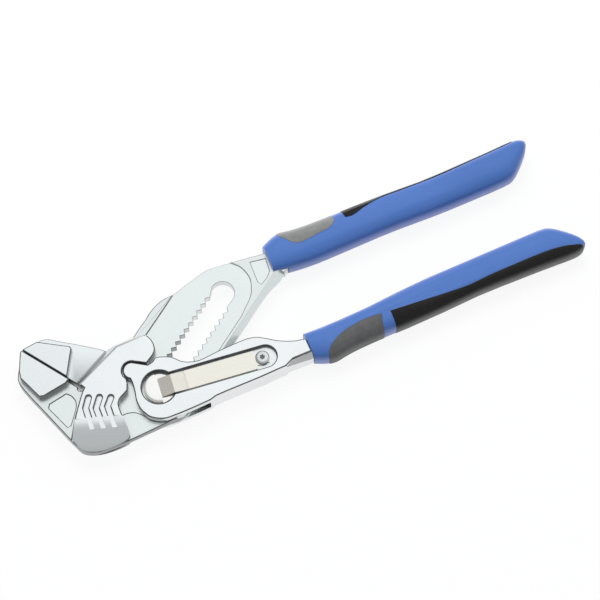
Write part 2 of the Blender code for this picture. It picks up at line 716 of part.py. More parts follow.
def slope_shank(body):
    """Slope the lever's faces down to the grip, below a line along their outer side."""
    outline = scaled(SHANK_SLOPE_SHARES, LEVER_HEAD_LENGTH, LEVER_HEAD_RADIUS)
    line = outline[2][1]
    fall = (HEAD_HALF - TANG_HALF) / SHANK_BEVEL_RUN
    waste = prism(outline, -HEAD_HALF - OVERRUN, HEAD_HALF + OVERRUN)
    inside = prism(outline, -HEAD_HALF - OVERRUN * 2, HEAD_HALF + OVERRUN * 2)
    foot = (LEVER_HEAD_LENGTH, line - SHANK_BEVEL_RUN, TANG_HALF)
    slope(inside, foot, (0, -1), fall)
    cut(waste, inside)
    cut(body, waste)


def screw_place():
    """Give the screw's place at the end of the spring's channel."""
    return turned([(SCREW_DISTANCE, 0)], SPRING_ANGLE)[0]


def channel_outline():
    """Give the spring's channel, with a round end past the screw, before its turn."""
    quarter = math.pi / 2
    half = CHANNEL_WIDTH / 2
    centre = (SCREW_DISTANCE + CHANNEL_PAST_SCREW, 0)
    return [(0, half), (0, -half)] + arc(half, -quarter, quarter, centre=centre, steps=12)


def leaf_outline():
    """Give the spring strip's plan: its full width and a tongue under the screw."""
    places = [(0, LEAF_WIDTH / 2)]
    for back, across in LEAF_NECK_SHARES:
        along = SCREW_DISTANCE - back * SCREW_HEAD_RADIUS
        places.append((along, across * LEAF_WIDTH / 2))
    return places + [(x, -y) for x, y in reversed(places)]


def hinge_sleeve():
    """Build the hollow hinge pin: round in the lever, flat-sided in the slot."""
    top = HEAD_HALF - RECESS_DEPTH - RUN
    bottom = -HEAD_HALF
    reach = HEAD_HALF + OVERRUN
    body = prism(circle(SLEEVE_RADIUS), bottom, top, "hinge_sleeve")
    join(body, prism(circle(FLANGE_RADIUS), bottom, bottom + FLANGE_THICKNESS))
    flat = SLOT_HALF_WIDTH - RUN
    slot_zone = PLATE_HALF + RUN
    for side in (1, -1):
        low = min(side * flat, side * (flat + SLEEVE_RADIUS))
        high = max(side * flat, side * (flat + SLEEVE_RADIUS))
        waste = slide_box(-SLEEVE_RADIUS * 2, SLEEVE_RADIUS * 2, low, high)
        cut(body, prism(waste, -slot_zone, slot_zone))
    cut(body, prism(circle(BOLT_RADIUS + RUN), -reach, reach))
    button_top = bottom + BUTTON_THICKNESS
    cut(body, prism(circle(BUTTON_RADIUS + RUN), -reach, button_top + BOLT_TRAVEL + FIT))
    half = key_half_length() + FIT
    window = slide_box(-half, half, -SLEEVE_RADIUS * 2, SLEEVE_RADIUS * 2)
    cut(body, prism(window, -FIT, reach))
    return body


def key_half_length():
    """Give half the length of the bolt's two toothed keys."""
    return TOOTH_PITCH / 2 + TOOTH_FLAT / 2 + TOOTH_DEPTH * KEY_TRIM_SHARE


def locking_bolt():
    """Build the bolt: push button at the back, rod and two toothed keys."""
    bottom = -HEAD_HALF
    top = HEAD_HALF - RECESS_DEPTH - RUN
    body = prism(circle(BOLT_RADIUS), bottom, top, "locking_bolt")
    join(body, prism(circle(BUTTON_RADIUS), bottom, bottom + BUTTON_THICKNESS))
    gap = FIT * KEY_GAP_SHARE
    teeth = tooth_profile(-TOOTH_PITCH / 2, 2, SLOT_HALF_WIDTH - gap, TOOTH_DEPTH)
    half = key_half_length()
    keys = prism(slide_outline(mirrored(teeth)), 0, KEY_HEIGHT)
    trim = slide_box(-half, half, -SLEEVE_RADIUS * 2, SLEEVE_RADIUS * 2)
    common(keys, prism(trim, -OVERRUN, KEY_HEIGHT + OVERRUN))
    join(body, keys)
    return body


def spring_cap():
    """Build the stepped round end that the leaf spring bears on."""
    low = HEAD_HALF - RECESS_DEPTH + FIT
    body = prism(circle(CAP_RADIUS), low, low + CAP_THICKNESS, "spring_cap")
    step = [
        (0, -CAP_RADIUS * 2), (CAP_RADIUS * 2, -CAP_RADIUS * 2),
        (CAP_RADIUS * 2, CAP_RADIUS * 2), (0, CAP_RADIUS * 2),
    ]
    waste = turned(step, SPRING_ANGLE)
    cut(body, prism(waste, low + CAP_STEP_THICKNESS, low + CAP_THICKNESS + OVERRUN))
    return body


def leaf_spring():
    """Build the strip: flat in its channel, kinked up and then dipping to the cap."""
    seat = HEAD_HALF - CHANNEL_DEPTH + FIT
    tip = HEAD_HALF - RECESS_DEPTH + FIT * 2 + CAP_STEP_THICKNESS
    end = SCREW_DISTANCE + LEAF_WIDTH / 2
    under = [
        (FIT, tip), (LEAF_KINK_DISTANCE / 2, seat + LEAF_KINK_RISE),
        (LEAF_KINK_DISTANCE, seat), (end, seat),
    ]
    over = [(x, z + LEAF_THICKNESS) for x, z in reversed(under)]
    bm = bmesh.new()
    half = LEAF_WIDTH / 2
    corners = [bm.verts.new((x, -half, z)) for x, z in under + over]
    side = bm.faces.new(corners)
    raised = bmesh.ops.extrude_face_region(bm, geom=[side])
    moved_up = [item for item in raised["geom"] if isinstance(item, bmesh.types.BMVert)]
    bmesh.ops.translate(bm, verts=moved_up, vec=(0, LEAF_WIDTH, 0))
    body = finish_mesh("leaf_spring", bm)
    plan = prism(leaf_outline(), 0, HEAD_HALF + OVERRUN)
    common(body, plan)
    hole = circle(SCREW_RADIUS + FIT, (SCREW_DISTANCE, 0), 24)
    cut(body, prism(hole, 0, HEAD_HALF + OVERRUN))
    turn_mesh(body, SPRING_ANGLE)
    return body


def turn_mesh(body, angle):
    """Turn a body's mesh about the hinge axis."""
    for vertex in body.data.vertices:
        x, y = turned([(vertex.co.x, vertex.co.y)], angle)[0]
        vertex.co.x = x
        vertex.co.y = y


def leaf_spring_screw():
    """Build the button-head screw, with a six-lobed socket."""
    seat = HEAD_HALF - CHANNEL_DEPTH + LEAF_THICKNESS + FIT * 2
    place = screw_place()
    rings = []
    for fall_share, radius_share in SCREW_HEAD_SHARES:
        height = seat + SCREW_HEAD_HEIGHT * fall_share
        ring = circle(SCREW_HEAD_RADIUS * radius_share, place, 24)
        rings.append([(x, y, height) for x, y in ring])
    body = loft(rings, "leaf_spring_screw")
    foot = seat - SCREW_LENGTH
    join(body, prism(circle(SCREW_RADIUS, place, 24), foot, seat + SCREW_HEAD_HEIGHT / 2))
    lobes = []
    for step in range(RING_STEPS):
        turn = 2 * math.pi * step / RING_STEPS
        wave = LOBE_MIDDLE + (1 - LOBE_MIDDLE) * math.cos(LOBE_COUNT * turn)
        lobes += [circle(SCREW_RECESS_RADIUS * wave, place, RING_STEPS)[step]]
    top = seat + SCREW_HEAD_HEIGHT
    cut(body, prism(lobes, top - SCREW_RECESS_DEPTH, top + OVERRUN))
    return body


def grip_length(side):
    """Give the length of the upper (1) or the lower (-1) grip."""
    return UPPER_GRIP_LENGTH if side > 0 else LOWER_GRIP_LENGTH


def grip_rings(side, inset):
    """Give the cross-sections of a grip, drawn in by an inset."""
    inboard_shares = UPPER_INBOARD_SHARES if side > 0 else LOWER_INBOARD_SHARES
    length = grip_length(side)
    middle = HANDLE_MIDLINE + side * HANDLE_SPREAD
    columns = (GRIP_STATION_SHARES, OUTBOARD_SHARES, inboard_shares, THICKNESS_SHARES)
    rows = zip(*[refined(column) for column in columns])
    rings = []
    for along, outboard, inboard, thick in rows:
        x = HANDLE_START + along * length
        out = outboard * GRIP_WIDTH - inset
        inn = inboard * GRIP_WIDTH - inset
        half_width = (out + inn) / 2
        centre = middle + side * (out - inn) / 2
        half_height = thick * GRIP_HALF - inset
        ring = []
        for step in range(RING_STEPS):
            turn = 2 * math.pi * (step + 0.5) / RING_STEPS
            across = math.copysign(abs(math.cos(turn)) ** GRIP_ROUNDING, math.cos(turn))
            up = math.copysign(abs(math.sin(turn)) ** GRIP_ROUNDING, math.sin(turn))
            ring.append((x, centre + half_width * across, half_height * up))
        rings.append(ring)
    return rings


def grip_region(shares, side, growth):
    """Give the plan of a soft insert, reaching past the grip's outboard side."""
    middle = HANDLE_MIDLINE + side * HANDLE_SPREAD
    places = scaled(shares, grip_length(side), GRIP_WIDTH)
    outline = [(HANDLE_START + x, middle + side * y) for x, y in places]
    outline = curved(outline)
    return grown(outline, growth) if growth else outline


def grip(side, label):
    """Build one grip: its hard shell and the two soft inserts let into it."""
    reach = GRIP_HALF + OVERRUN
    shell = loft(grip_rings(side, 0), label + "_grip_shell")
    steel = plate_outline() if side > 0 else tang_outline(LOWER_TANG_SHARES, side)
    grey = UPPER_GREY_SHARES if side > 0 else LOWER_GREY_SHARES
    black = UPPER_BLACK_SHARES if side > 0 else LOWER_BLACK_SHARES
    pieces = [shell]
    for shares, word in ((grey, "_grip_grey_insert"), (black, "_grip_black_insert")):
        insert = loft(grip_rings(side, 0), label + word)
        common(insert, prism(grip_region(shares, side, 0), -reach, reach))
        cut(insert, loft(grip_rings(side, GRIP_SKIN - FIT)))
        pocket = prism(grip_region(shares, side, FIT), -reach, reach)
        cut(pocket, loft(grip_rings(side, GRIP_SKIN)))
        cut(shell, pocket)
        pieces.append(insert)
    hollow = TANG_HALF + FIT
    cut(shell, prism(grown(steel, FIT), -hollow, hollow))
    return pieces


def material(finish):
    """Make one finish."""
    name, colour, roughness, metallic = finish
    made = bpy.data.materials.new(name)
    made.use_nodes = True
    shader = made.node_tree.nodes["Principled BSDF"]
    shader.inputs["Base Color"].default_value = (*colour, 1)
    shader.inputs["Roughness"].default_value = roughness
    shader.inputs["Metallic"].default_value = metallic
    made.diffuse_color = (*colour, 1)
    return made


def dress(body, finish):
    """Give a piece its finish and smooth its round faces."""
    body.data.materials.clear()
    body.data.materials.append(material(finish))
    body.data.shade_smooth()
    body.data.set_sharp_from_angle(angle=math.radians(30))


def empty(name, parent=None):
    """Make a guide that pieces hang from."""
    guide = bpy.data.objects.new(name, None)
    bpy.context.scene.collection.objects.link(guide)
    guide.parent = parent
    return guide


def set_down(base, bodies):
    """Centre the tool on the origin, lying on its back."""
    corners = [vertex.co for body in bodies for vertex in body.data.vertices]
    low = [min(corner[axis] for corner in corners) for axis in range(3)]
    high = [max(corner[axis] for corner in corners) for axis in range(3)]
    base.location = (-(low[0] + high[0]) / 2, -(low[1] + high[1]) / 2, -low[2])


def build():
    """Build the tool."""
    for old in list(bpy.data.objects):
        bpy.data.objects.remove(old)
    base = empty("fixed_side")
    hinge = empty("hinge_axis", base)
    lever_side = empty("lever_side", hinge)
    upper_grip = grip(1, "upper")
    lower_grip = grip(-1, "lower")
    fixed = fixed_jaw_handle()
    jaw = sliding_jaw()
    lever = lever_handle()
    sleeve = hinge_sleeve()
    bolt = locking_bolt()
    cap = spring_cap()
    leaf = leaf_spring()
    screw = leaf_spring_screw()
    for body in (fixed, jaw, lever, sleeve):
        dress(body, SATIN_CHROME)
    for body in (bolt, cap, screw):
        dress(body, BRIGHT_STEEL)
    dress(leaf, SPRING_STEEL)
    for pieces in (upper_grip, lower_grip):
        for body, finish in zip(pieces, (BLUE_PLASTIC, GREY_RUBBER, BLACK_RUBBER)):
            dress(body, finish)
    for body in (fixed, *upper_grip):
        body.parent = base
    for body in (jaw, sleeve, bolt):
        body.parent = hinge
    for body in (lever, leaf, screw, cap, *lower_grip):
        body.parent = lever_side
    bodies = [fixed, jaw, lever, sleeve, bolt, cap, leaf, screw, *upper_grip, *lower_grip]
    set_down(base, bodies)


build()
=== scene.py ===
"""Looks of the pliers wrench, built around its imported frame.

Lengths are in metres. The tool lies on its back: +X runs from the jaws to the grip
ends, +Y towards the upper handle, +Z out of the face with the leaf spring.
"""
import math

import bmesh
import bpy
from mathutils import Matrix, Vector


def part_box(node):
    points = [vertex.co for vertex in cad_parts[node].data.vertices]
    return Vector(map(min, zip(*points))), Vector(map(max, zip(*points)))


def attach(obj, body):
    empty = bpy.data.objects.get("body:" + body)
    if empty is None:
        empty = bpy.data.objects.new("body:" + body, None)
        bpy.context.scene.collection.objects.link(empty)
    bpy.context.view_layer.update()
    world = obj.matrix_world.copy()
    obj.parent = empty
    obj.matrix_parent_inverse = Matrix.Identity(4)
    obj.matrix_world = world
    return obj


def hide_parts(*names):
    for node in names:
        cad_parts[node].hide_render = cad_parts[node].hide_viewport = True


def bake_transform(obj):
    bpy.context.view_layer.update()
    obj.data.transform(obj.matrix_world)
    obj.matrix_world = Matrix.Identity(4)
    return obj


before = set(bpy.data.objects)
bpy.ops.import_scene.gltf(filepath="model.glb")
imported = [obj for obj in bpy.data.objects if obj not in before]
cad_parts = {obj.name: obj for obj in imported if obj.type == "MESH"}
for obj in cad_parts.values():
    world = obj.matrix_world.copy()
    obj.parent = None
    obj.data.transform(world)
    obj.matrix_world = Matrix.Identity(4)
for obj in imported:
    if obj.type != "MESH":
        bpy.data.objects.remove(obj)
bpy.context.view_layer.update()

# The camera, where the photograph was taken from
CAMERA_PLACE = (-0.13999, -0.31925, 0.96596)
CAMERA_TILT = math.radians(20)
CAMERA_TURN = math.radians(-23.8)
CAMERA_LENS = 139.8
CAMERA_SENSOR = 36
CAMERA_NEAREST = 0.01

# The studio: the tint of its light, and the white that the camera sees
SKY = (0.975, 0.99, 1.0)
WHITE = (1.0, 1.0, 1.0)

# Its plain light, what more comes from behind the tool, and the ways to the bright box
# and the side light
PLAIN_LIGHT = 0.60
PLAIN_SLANT = 0.34
BOX_WAY = Vector((0.30, 0.42, 0.84)).normalized()
SIDE_WAY = Vector((0.80, -0.44, 0.45)).normalized()

# The lamp overhead
LAMP_PLACE = Vector((0.15, 0.45, 0.95))
LAMP_SIZE = (0.7, 0.5)
LAMP_POWER = 5.2

# The floor: half its side, its drop below the tool, its colour, its glow's strength,
# and the glow's share for the camera and in mirrors and glass
FLOOR_HALF = 1.6
FLOOR_DROP = 0.0002
FLOOR_COLOUR = (0.90, 0.905, 0.91)
FLOOR_GLOW = 1.02
FLOOR_SEEN = 0.88
FLOOR_MIRRORED = 0.85

# Middle of the tool's thickness, hinge axis, and the turns of the slot and the spring
MIDDLE = 0.007
HINGE = (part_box("hinge_sleeve")[0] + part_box("hinge_sleeve")[1]) / 2
SLIDE_ANGLE = math.radians(34.5)
SPRING_ANGLE = math.radians(-6.8)
SPRING_WAY = Vector((math.cos(SPRING_ANGLE), math.sin(SPRING_ANGLE), 0))

# Heights of the steel faces and the leaf spring, from the middle of the thickness
PAD_LEVEL = 0.007
HEAD_LEVEL = 0.0068
BASE_LEVEL = 0.0044
SLEEVE_LEVEL = 0.0031
RAISED_LEVEL = 0.003
FIELD_LEVEL = 0.0024
RELIEF_LEVEL = 0.002
LEVEL_SLACK = 0.00003

# Widths of the rounded edges: the jaws' and the lever's, the plate's, the base's and
# the bolt's, the milled field's, and the fine ones inside the lever
FORGED_ROUND = 0.0005
PLATE_ROUND = 0.0004
BASE_ROUND = 0.0003
FIELD_ROUND = 0.00024
FINE_ROUND = 0.0002

# The spring's screw and kink and the pockets, from the axes they surround
SCREW_DISTANCE = 0.0463
KINK_DISTANCE = 0.012
RECESS_REACH = 0.0082
SOCKET_REACH = 0.0014

# The spring's crease: half its width, half the way over which the strip's painted shade
# turns there, and how dark the crease's painted shade is
CREASE_HALF = 0.0005
KINK_HALF = 0.0002
CREASE_SHADE = 0.82

# Where the painted shade of the jaws' walls and edges starts to fade and ends, from the
# hinge
JAW_SHADE_FADES = 0.014
JAW_SHADE_ENDS = 0.026

# The cone turned round the raised half of the spring's cap, whose points fall where
# they are past the cap's edge
CAP_EDGE = 0.0065
CONE_WIDTH = 0.0013
CONE_FALL = 0.00045

# Rounding of the sliding jaw's slopes
SLOPE_ROUNDING = 0.0008

# The toe: its fall and its reach from the crease, the part of the reach that bends, in
# how many steps, and how near a cut a point is on it
TOE_FALL = 0.24
TOE_REACH = 0.0125
TOE_BEND = 0.0075
TOE_STEPS = 6
CUT_REACH = 0.000001

# How far the soft inserts stand proud of their shells
INSERT_PROUD = 0.0002

# Joining a node's loose triangles: how near two points are one, and how flat a face is
JOIN_REACH = 0.00001
FLAT_ANGLE = math.radians(0.8)

# Turns between two faces, in degrees: the corners that are rounded are sharper than
# these, and the cheeks' slopes and the toe's crease lie between two
FORGED_CORNER = 40
INSERT_CORNER = 38
SLOPE_TURNS = (32, 58)
CREASE_TURNS = (8, 20)

# Turns from which an edge stays crisp in the shading, in degrees
CRISP_FORGED = 12
CRISP_JAW = 17
CRISP_MOULDED = 34
CRISP_ROUNDED = 44

# A wall's normal rises less than this
WALL_RISE = 0.3

# Rises of the normal over which the walls' painted shade turns into the slopes', and
# theirs into the faces' own tones
WALL_TO_SLOPE = (0.12, 0.45)
SLOPE_TO_FACE = (0.60, 0.80)

# A piece's finishes, in their order: its faces, its rounded edges, its pockets' walls
FACES, EDGES, POCKETS = range(3)

# The plate's colours by level, as a share of the pads' level
PLATE_TONES = (
    (0.0, (0.83, 0.88, 0.875)),
    (0.375, (0.84, 0.89, 0.88)),
    (0.395, (0.80, 0.84, 0.83)),
    (0.5, (0.82, 0.86, 0.85)),
    (0.60, (0.88, 0.92, 0.93)),
    (0.975, (0.91, 0.935, 0.945)),
    (0.985, (0.865, 0.895, 0.905)),
)

# Painted shade of the plated slopes, and of the walls at the jaws, the plate and the
# lever
SLOPE_SHADE = (0.56, 0.575, 0.575)
JAW_WALL_SHADE = (0.26, 0.27, 0.275)
PLATE_WALL_SHADE = (0.72, 0.74, 0.74)
LEVER_WALL_SHADE = (0.86, 0.88, 0.89)

# Colours of the other finishes, a deep and a pale one for each
# Painted shade along the rounded edges, deep and pale
DEEP_EDGE_SHADE = ((0.15, 0.16, 0.165), (0.24, 0.25, 0.255))
PALE_EDGE_SHADE = ((0.54, 0.55, 0.555), (0.62, 0.635, 0.64))
# Painted shade on the walls of the narrow pockets
POCKET_SHADE = ((0.055, 0.056, 0.058), (0.10, 0.10, 0.10))
NICKEL = ((0.89, 0.88, 0.85), (0.95, 0.945, 0.92))
SCREW = ((0.68, 0.71, 0.70), (0.78, 0.81, 0.80))
STRIP = ((0.875, 0.845, 0.76), (0.91, 0.885, 0.80))
# Painted shade of the strip from its kink to the cap
BENT_STRIP_SHADE = ((0.80, 0.765, 0.685), (0.85, 0.82, 0.735))
BLUE = ((0.062, 0.165, 0.50), (0.072, 0.182, 0.54))
BLACK = ((0.008, 0.0078, 0.0075), (0.012, 0.0115, 0.011))
UPPER_GREY = ((0.24, 0.248, 0.243), (0.275, 0.285, 0.28))
LOWER_GREY = ((0.105, 0.105, 0.107), (0.13, 0.13, 0.132))

# Painted sheen: the grips' colours at a low angle
BLUE_SHEEN = (0.22, 0.31, 0.70)
BLACK_SHEEN = (0.17, 0.172, 0.17)
UPPER_GREY_SHEEN = (0.42, 0.425, 0.42)
LOWER_GREY_SHEEN = (0.22, 0.223, 0.222)


def photo_camera():
    """Stand the camera where the photograph was taken from."""
    data = bpy.data.cameras.new("photo_camera")
    data.lens = CAMERA_LENS
    data.sensor_width = CAMERA_SENSOR
    data.clip_start = CAMERA_NEAREST
    camera = bpy.data.objects.new("photo_camera", data)
    camera.location = CAMERA_PLACE
    camera.rotation_euler = (CAMERA_TILT, 0, CAMERA_TURN)
    bpy.context.scene.collection.objects.link(camera)
    bpy.context.scene.camera = camera


class Value:
    """A socket whose arithmetic adds Math nodes to its graph."""

    def __init__(self, graph, socket):
        self.graph = graph
        self.socket = socket

    def __abs__(self):
        return self.graph.math("ABSOLUTE", self)

    def __add__(self, other):
        return self.graph.math("ADD", self, other)

    def __sub__(self, other):
        return self.graph.math("SUBTRACT", self, other)

    def __rsub__(self, other):
        return self.graph.math("SUBTRACT", other, self)

    def __mul__(self, other):
        return self.graph.math("MULTIPLY", self, other)

    def __truediv__(self, other):
        return self.graph.math("DIVIDE", self, other)

    def __rtruediv__(self, other):
        return self.graph.math("DIVIDE", other, self)

    __radd__ = __add__
    __rmul__ = __mul__


class Graph:
    """The nodes of a material or of the world."""

    def __init__(self, tree):
        self.tree = tree

    def add(self, kind, settings, *inputs, out=0, **named):
        """Add a node: its settings first, then the values or links of its sockets.

        The sockets are fed in their order, past those given as None, or by name. The
        result is one of the node's outputs.
        """
        node = self.tree.nodes.new(kind)
        for key, setting in settings.items():
            if key == "stops":
                set_stops(node.color_ramp, setting)
            else:
                setattr(node, key, setting)
        for socket, value in zip(node.inputs, inputs):
            self.feed(socket, value)
        self.feed_named(node, **named)
        return Value(self, node.outputs[out])

    def feed(self, socket, value):
        """Link a socket, or set its value. A colour may come without its alpha."""
        if isinstance(value, Value):
            self.tree.links.new(value.socket, socket)
        elif value is not None:
            bare_colour = socket.type == "RGBA" and len(value) == 3
            socket.default_value = (*value, 1) if bare_colour else value

    def feed_named(self, node, **values):
        """Feed a node's sockets by name, with an underscore for each space."""
        for name, value in values.items():
            self.feed(node.inputs[name.replace("_", " ")], value)

    def math(self, operation, *values):
        """Work out values with a Math node."""
        return self.add("ShaderNodeMath", {"operation": operation}, *values)

    def dot(self, vector, way):
        """Give a vector's reach along a way."""
        settings = {"operation": "DOT_PRODUCT"}
        return self.add(
            "ShaderNodeVectorMath", settings, vector, tuple(way), out="Value"
        )

    def part(self, vector, axis):
        """Give a vector's X, Y or Z."""
        return self.add("ShaderNodeSeparateXYZ", {}, vector, out=axis)

    def ray(self, kind):
        """Give 1 to the rays of a kind, and 0 to all others."""
        return self.add("ShaderNodeLightPath", {}, out=f"Is {kind} Ray")

    def coordinates(self, kind):
        """Give the coordinates of a kind."""
        return self.add("ShaderNodeTexCoord", {}, out=kind)

    def place(self):
        """Give the place on the piece, in metres of the tool."""
        return self.coordinates("Object")

    def along(self, turn, length, width):
        """Give the place in grains of a length and a width, laid along a direction."""
        return self.add(
            "ShaderNodeMapping", {"vector_type": "TEXTURE"}, Vector=self.place(),
            Rotation=(0, 0, turn), Scale=(length, width, width),
        )

    def noise(self, place, scale=1.0, detail=2.0, rough=0.5):
        """Give smooth noise."""
        return self.add(
            "ShaderNodeTexNoise", {}, Vector=place, Scale=scale, Detail=detail,
            Roughness=rough,
        )

    def band(self, value, low, high, first=0.0, last=1.0):
        """Turn the range from low to high into that from first to last, softly."""
        settings = {"interpolation_type": "SMOOTHSTEP"}
        return self.add("ShaderNodeMapRange", settings, value, low, high, first, last)

    def mix(self, factor, first, second):
        """Mix two colours, past the five sockets that are for numbers and vectors."""
        past = [None] * 5
        return self.add(
            "ShaderNodeMix", {"data_type": "RGBA"}, factor, *past, first, second, out=2
        )

    def mottle(self, noise, tones, low=0.3, high=0.7):
        """Go from a deep tone to a pale one as a noise goes from low to high."""
        return self.mix(self.band(noise, low, high), *tones)

    def scaled_colour(self, colour, factor):
        """Make a colour darker or paler."""
        settings = {"operation": "SCALE"}
        return self.add("ShaderNodeVectorMath", settings, colour, Scale=factor)

    def low_angle(self, low, high):
        """Give a share that rises where the surface is seen at a low angle."""
        facing = self.add("ShaderNodeLayerWeight", {}, Blend=0.5, out="Facing")
        return self.band(facing, low, high)

    def bump(self, height, strength, distance=0.00002):
        """Turn a height into a bumped normal."""
        return self.add(
            "ShaderNodeBump", {}, Strength=strength, Distance=distance, Height=height
        )


def set_stops(ramp, stops):
    """Give a colour ramp its stops."""
    while len(ramp.elements) < len(stops):
        ramp.elements.new(0.5)
    for element, (place, colour) in zip(ramp.elements, stops):
        element.position = place
        element.color = (*colour, 1)


def new_material(name, metallic, specular=0.5):
    """Start a material, and give it with its graph and its shader."""
    made = bpy.data.materials.new(name)
    made.use_nodes = True
    shader = made.node_tree.nodes["Principled BSDF"]
    shader.inputs["Metallic"].default_value = metallic
    shader.inputs["Specular IOR Level"].default_value = specular
    return made, Graph(made.node_tree), shader


def steel_tones(g):
    """Give the plate's colour by level: milled field, forged skin, bright head."""
    level = abs(g.part(g.place(), "Z") - MIDDLE) / PAD_LEVEL
    return g.add("ShaderNodeValToRGB", {"stops": PLATE_TONES}, level)


def towards_handles(g):
    """Give a share that rises behind the hinge."""
    return g.band(g.part(g.place(), "X"), HINGE.x + JAW_SHADE_FADES, HINGE.x + JAW_SHADE_ENDS)


def satin_chrome(name, wall_shade, far_wall_shade):
    """Satin chrome plate: cool and pale, with cloudy patches and a blasted grain.

    Its upright walls and its steep slopes carry painted shade: the walls have their own
    tones at the jaws and towards the handles, and the slopes one grey.
    """
    made, g, shader = new_material(name, metallic=1.0)
    cloud = g.noise(g.place(), scale=42.0, detail=3.0, rough=0.55)
    pores = g.noise(g.place(), scale=2400.0, rough=0.6)
    milled = g.noise(g.along(SLIDE_ANGLE, length=0.012, width=0.0004))
    upward = abs(g.part(g.coordinates("Normal"), "Z"))
    # Painted shade on the upright walls and the steep slopes, by how far the normal
    # rises
    walls = g.mix(towards_handles(g), wall_shade, far_wall_shade)
    slopes = g.mix(g.band(upward, *SLOPE_TO_FACE), SLOPE_SHADE, steel_tones(g))
    tones = g.mix(g.band(upward, *WALL_TO_SLOPE), walls, slopes)
    clouded = (g.scaled_colour(tones, factor=0.965), tones)
    g.feed_named(
        shader,
        Base_Color=g.mottle(cloud, clouded, low=0.36, high=0.64),
        Roughness=cloud * 0.10 + milled * 0.05 + 0.20,
        Normal=g.bump(pores * 0.7 + milled * 0.3, strength=0.02),
    )
    return made


def painted_edge_shade(name, far_shades):
    """Painted shade along the rounded edges of the plated forgings, deep at the jaws
    and turning to the far shade towards the handles.
    """
    made, g, shader = new_material(name, metallic=1.0)
    edge_mottle = g.noise(g.place(), scale=260.0, detail=3.0, rough=0.6)
    pores = g.noise(g.place(), scale=2600.0, rough=0.6)
    edge_mottle_share = g.band(edge_mottle, low=0.35, high=0.7)
    # Painted shade: deep near the jaws, turning to the far shade towards the handles
    near, far = g.mix(edge_mottle_share, *DEEP_EDGE_SHADE), g.mix(edge_mottle_share, *far_shades)
    g.feed_named(
        shader,
        Base_Color=g.mix(towards_handles(g), near, far),
        Roughness=edge_mottle * 0.12 + 0.26,
        Normal=g.bump(pores, strength=0.10),
    )
    return made


def shaded_wall():
    """Painted shade on the walls of the narrow pockets."""
    made, g, shader = new_material("shaded_wall_look", metallic=1.0)
    pocket_mottle = g.noise(g.place(), scale=300.0, detail=3.0, rough=0.6)
    g.feed_named(
        shader, Base_Color=g.mottle(pocket_mottle, POCKET_SHADE), Roughness=pocket_mottle * 0.15 + 0.30
    )
    return made


def turned_steel(name, tones, rough):
    """Bright turned steel of the small parts, with a haze and fine tool marks."""
    made, g, shader = new_material(name, metallic=1.0)
    haze = g.noise(g.place(), scale=180.0)
    marks = g.noise(g.place(), scale=3200.0)
    g.feed_named(
        shader,
        Base_Color=g.mottle(haze, tones, low=0.35, high=0.65),
        Roughness=haze * 0.10 + (rough - 0.05),
        Normal=g.bump(marks, strength=0.08),
    )
    return made


def brushed_spring():
    """Warm nickel-plated spring strip, brushed along its length.

    It carries painted shade: a little darker from its kink to the cap, and darkest in
    the crease.
    """
    made, g, shader = new_material("brushed_spring_look", metallic=1.0)
    grain = g.along(SPRING_ANGLE, length=0.02, width=0.00022)
    brushed = g.noise(grain, detail=3.0, rough=0.6)
    haze = g.noise(g.place(), scale=90.0)
    from_hinge = g.dot(g.place(), SPRING_WAY) - HINGE.dot(SPRING_WAY)
    from_kink = from_hinge - KINK_DISTANCE
    crease = g.band(abs(from_kink), low=0.0, high=CREASE_HALF, first=CREASE_SHADE)
    bent = g.band(from_kink, low=KINK_HALF, high=-KINK_HALF)
    tones = g.mix(bent, g.mottle(brushed, STRIP), g.mottle(brushed, BENT_STRIP_SHADE))
    g.feed_named(
        shader,
        Base_Color=g.scaled_colour(tones, crease),
        Roughness=brushed * 0.10 + haze * 0.06 + 0.20,
        Normal=g.bump(brushed, strength=0.08),
    )
    return made


def moulded_blue():
    """Hard blue plastic with an eroded mould's fine pebble, and a pale painted sheen.
    """
    made, g, shader = new_material("moulded_blue_look", metallic=0.0)
    flow = g.noise(g.along(turn=0.0, length=0.07, width=0.016), detail=3.0)
    pebble = g.noise(g.place(), scale=2100.0, rough=0.55)
    ripple = g.noise(g.place(), scale=240.0)
    skin = g.mottle(flow, BLUE, low=0.35, high=0.65)
    g.feed_named(
        shader,
        Base_Color=g.mix(g.low_angle(low=0.15, high=0.75), skin, BLUE_SHEEN),
        Roughness=ripple * 0.10 + pebble * 0.06 + 0.28,
        Normal=g.bump(pebble * 0.7 + ripple * 0.3, strength=0.16, distance=0.00004),
    )
    return made


def soft_rubber(name, tones, rim, rough, shine):
    """Soft rubber insert with a matt, slightly mottled skin, and a pale painted sheen
    at a low angle.
    """
    made, g, shader = new_material(name, metallic=0.0, specular=shine)
    mottle = g.noise(g.place(), scale=320.0, detail=4.0, rough=0.6)
    grain = g.noise(g.place(), scale=1700.0, detail=3.0, rough=0.6)
    skin = g.mottle(mottle, tones)
    g.feed_named(
        shader,
        Base_Color=g.mix(g.low_angle(low=0.18, high=0.80), skin, rim),
        Roughness=mottle * 0.12 + (rough - 0.06),
        Normal=g.bump(grain * 0.7 + mottle * 0.3, strength=0.30, distance=0.00006),
    )
    return made


